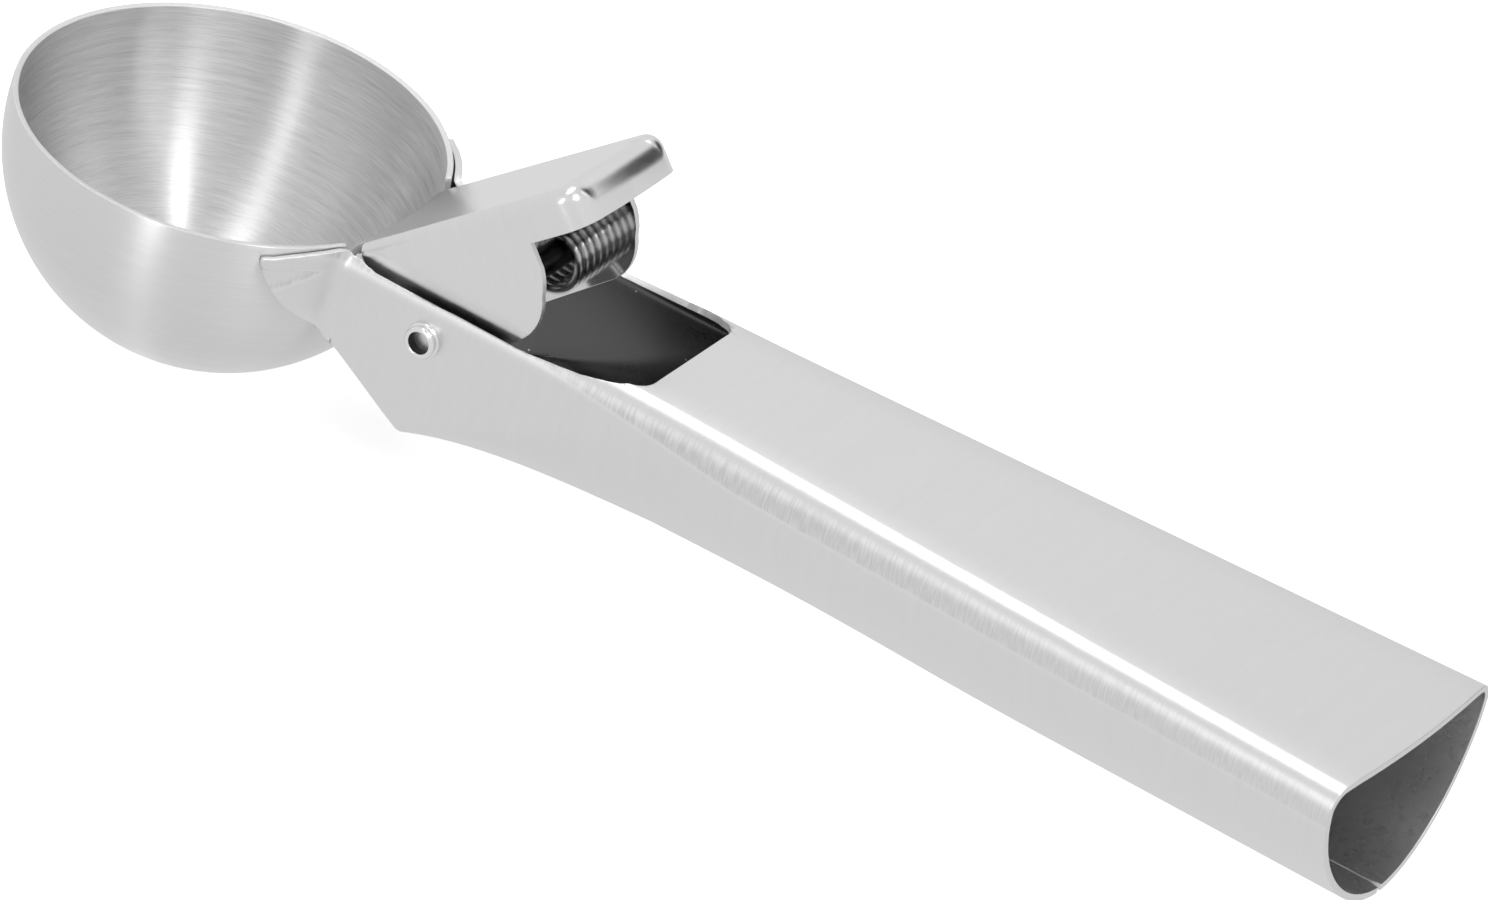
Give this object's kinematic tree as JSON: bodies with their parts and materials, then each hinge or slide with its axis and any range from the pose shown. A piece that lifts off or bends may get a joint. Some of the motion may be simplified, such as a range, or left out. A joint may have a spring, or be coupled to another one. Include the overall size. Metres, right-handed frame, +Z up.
{
  "type": "ice cream scoop",
  "caption": "Hand scoop with a round bowl, a flared hollow handle of folded sheet and a sprung thumb lever that pushes the ball of ice cream out.",
  "frame": {"origin": "middle of the base, on the surface that the scoop lies on with its bowl and the handle's end", "axes": "+X runs from the bowl to the handle's end, +Z up out of the bowl's mouth, the scoop is symmetric about Y apart from its spring"},
  "size_m": [0.1988, 0.055, 0.0485],
  "materials": {
    "bowl": "satin outside, brushed in rings inside",
    "handle": "satin outside, smooth and dark inside",
    "lever": "satin on top, polished underneath",
    "rivet": "turned and polished",
    "spring": "bright drawn wire"
  },
  "bodies": {
    "body": {"bowl": "bowl", "handle": "handle", "rivet": "rivet", "spring": "spring"},
    "lever": {"lever": "lever"}
  },
  "joints": [
    {"name": "lever_pivot", "type": "hinge", "parent": "body", "child": "lever", "pos_m": [-0.03376, 0, 0.02271], "axis": [0, 1, 0], "range_deg": [0, 38], "stiffness_Nm_per_rad": 0.25, "springref_deg": -34.38, "deforming": ["spring"]}
  ]
}
